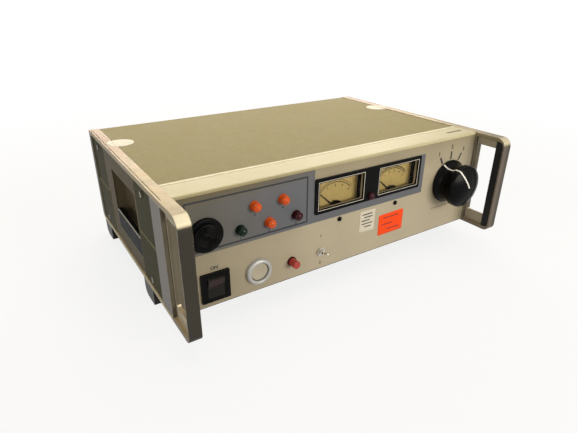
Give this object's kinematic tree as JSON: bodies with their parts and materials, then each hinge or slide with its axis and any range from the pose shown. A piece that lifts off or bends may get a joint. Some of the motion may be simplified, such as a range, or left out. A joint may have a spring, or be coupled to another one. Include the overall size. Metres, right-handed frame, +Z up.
{
  "type": "hipot tester",
  "caption": "Bench hipot tester in a wide instrument cabinet with cast side frames, front handles, needle meters, lamps, push buttons, a rocker, a toggle and a selector knob.",
  "frame": {"origin": "on the bench under the middle of the object's box", "axes": "+X to the operator's right, +Y to the back, +Z up"},
  "size_m": [0.4256, 0.316, 0.146],
  "materials": {
    "frame_metal": "satin",
    "insert_black": "matte",
    "trim_grey": "satin",
    "side_vinyl": "textured",
    "pocket_plastic": "matte",
    "bar_plastic": "satin",
    "screw_steel": "satin",
    "rail_cream": "satin",
    "cover_olive": "textured",
    "rear_paint": "satin",
    "foot_plastic": "matte",
    "panel_beige": "satin",
    "overlay_grey": "matte",
    "black_plastic": "gloss",
    "meter_glass": "clear",
    "dial_cream": "matte",
    "movement_metal": "satin",
    "pointer_black": "matte",
    "lens_green": "translucent",
    "lens_amber": "translucent",
    "lens_red": "translucent",
    "rocker_plastic": "satin",
    "rocker_red": "translucent",
    "ring_chrome": "polished",
    "button_white": "satin",
    "button_red": "gloss",
    "toggle_chrome": "polished",
    "knob_black": "gloss",
    "shaft_steel": "satin",
    "wafer_phenolic": "matte",
    "tray_aluminium": "satin",
    "transformer_iron": "varnished",
    "potting_black": "matte",
    "board_green": "satin",
    "terminal_red": "gloss"
  },
  "bodies": {
    "cabinet": {"left_side_frame": "frame_metal", "right_side_frame": "frame_metal", "handle_inserts": "insert_black", "side_trim_strips": "trim_grey", "left_front_side_cover": "side_vinyl", "right_front_side_cover": "side_vinyl", "left_rear_side_cover": "side_vinyl", "right_rear_side_cover": "side_vinyl", "left_hand_pocket": "pocket_plastic", "right_hand_pocket": "pocket_plastic", "carry_bars": "bar_plastic", "side_cover_screws": "screw_steel", "front_top_rail": "rail_cream", "front_bottom_rail": "frame_metal", "top_cover": "cover_olive", "bottom_cover": "cover_olive", "rear_panel": "rear_paint", "feet": "foot_plastic", "foot_screws": "screw_steel", "front_panel": "panel_beige", "panel_overlay": "overlay_grey", "meter_bezel": "black_plastic", "meter_windows": "meter_glass", "meter_cases": "black_plastic", "meter_dials": "dial_cream", "meter_movements": "movement_metal", "pivot_covers": "black_plastic", "green_lens": "lens_green", "amber_lenses": "lens_amber", "red_lens": "lens_red", "warning_lens": "lens_red", "lamp_sockets": "black_plastic", "buzzer": "black_plastic", "buzzer_ring": "black_plastic", "power_switch_body": "black_plastic", "start_ring": "ring_chrome", "start_switch_body": "black_plastic", "reset_switch_body": "black_plastic", "toggle_switch_body": "toggle_chrome", "toggle_nut": "toggle_chrome", "rotary_switch": "wafer_phenolic", "chassis_tray": "tray_aluminium", "power_transformer": "transformer_iron", "high_voltage_transformer": "potting_black", "circuit_board": "board_green", "mains_inlet": "black_plastic", "fuse_holder": "black_plastic", "output_terminals": "terminal_red"},
    "selector": {"selector_knob": "knob_black", "selector_shaft": "shaft_steel"},
    "rocker": {"power_rocker": "rocker_plastic", "rocker_lens": "rocker_red"},
    "start_push": {"start_button": "button_white"},
    "reset_push": {"reset_button": "button_red"},
    "toggle": {"toggle_lever": "toggle_chrome"},
    "left_pointer": {"left_meter_pointer": "pointer_black"},
    "right_pointer": {"right_meter_pointer": "pointer_black"},
    "left_zero": {"left_zero_screw": "black_plastic"},
    "right_zero": {"right_zero_screw": "black_plastic"}
  },
  "joints": [
    {"name": "selector_turn", "type": "hinge", "parent": "cabinet", "child": "selector", "pos_m": [0.15775, -0.116, 0.0892], "axis": [0, 1, 0], "range_deg": [0, 60]},
    {"name": "power_tip", "type": "hinge", "parent": "cabinet", "child": "rocker", "pos_m": [-0.16765, -0.115, 0.0465], "axis": [-1, 0, 0], "range_deg": [0, 14]},
    {"name": "start_press", "type": "slide", "parent": "cabinet", "child": "start_push", "axis": [0, 1, 0], "range_m": [0, 0.003], "stiffness_N_per_m": 300, "springref_m": -0.003},
    {"name": "reset_press", "type": "slide", "parent": "cabinet", "child": "reset_push", "axis": [0, 1, 0], "range_m": [0, 0.0025], "stiffness_N_per_m": 300, "springref_m": -0.003},
    {"name": "toggle_tip", "type": "hinge", "parent": "cabinet", "child": "toggle", "pos_m": [-0.04135, -0.1184, 0.0465], "axis": [1, 0, 0], "range_deg": [0, 24]},
    {"name": "left_pointer_swing", "type": "hinge", "parent": "cabinet", "child": "left_pointer", "pos_m": [-0.01675, -0.108, 0.0915], "axis": [0, 1, 0], "range_deg": [0, 96], "stiffness_Nm_per_rad": 0.0002},
    {"name": "right_pointer_swing", "type": "hinge", "parent": "cabinet", "child": "right_pointer", "pos_m": [0.067, -0.108, 0.0915], "axis": [0, 1, 0], "range_deg": [0, 96], "stiffness_Nm_per_rad": 0.0002},
    {"name": "left_zero_turn", "type": "hinge", "parent": "cabinet", "child": "left_zero", "pos_m": [-0.01675, -0.116, 0.0798], "axis": [0, 1, 0], "range_deg": [-90, 90]},
    {"name": "right_zero_turn", "type": "hinge", "parent": "cabinet", "child": "right_zero", "pos_m": [0.067, -0.116, 0.0798], "axis": [0, 1, 0], "range_deg": [-90, 90]}
  ]
}
